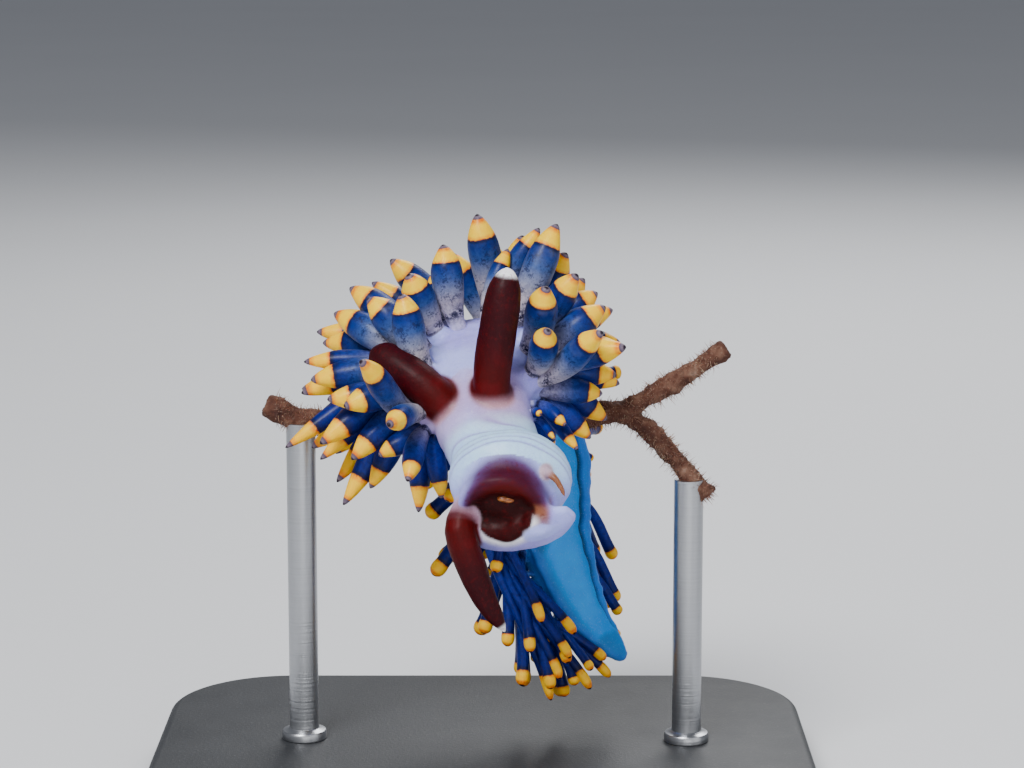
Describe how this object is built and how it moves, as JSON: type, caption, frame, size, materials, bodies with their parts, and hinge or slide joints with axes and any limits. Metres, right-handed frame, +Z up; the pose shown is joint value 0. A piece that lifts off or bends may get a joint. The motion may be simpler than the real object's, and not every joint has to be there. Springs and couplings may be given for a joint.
{
  "type": "sea slug model",
  "caption": "Aeolid sea slug draped over a cut stem, with clubbed cerata, smooth rhinophores and oral tentacles, on a small stand.",
  "frame": {"origin": "middle of the underside of the stand's base", "axes": "+Z up, -Y the way the slug's mouth faces, +X to the slug's left and along the perch's stem"},
  "size_m": [0.027, 0.021, 0.0237],
  "materials": {
    "flesh": "moist satin, lavender white",
    "feelers": "moist satin, dark maroon with white tips",
    "cerata": "moist gloss, white to deep blue with a cream yellow band below each tip",
    "foot": "moist satin, pale sky blue",
    "stem": "rough, overgrown",
    "base": "fine matte",
    "rods": "brushed"
  },
  "bodies": {
    "root": {"head": "flesh", "rhinophore_left": "feelers", "rhinophore_right": "feelers", "oral_tentacle_left": "feelers", "oral_tentacle_right": "feelers", "trunk_front": "cerata", "trunk_crest": "cerata", "trunk_rear": "cerata", "tail": "cerata", "foot_front": "foot", "foot_crest": "foot", "foot_rear": "foot", "foot_tail": "foot", "perch_stem": "stem", "stand_base": "base", "stand_rod_left": "rods", "stand_rod_right": "rods"}
  },
  "joints": []
}
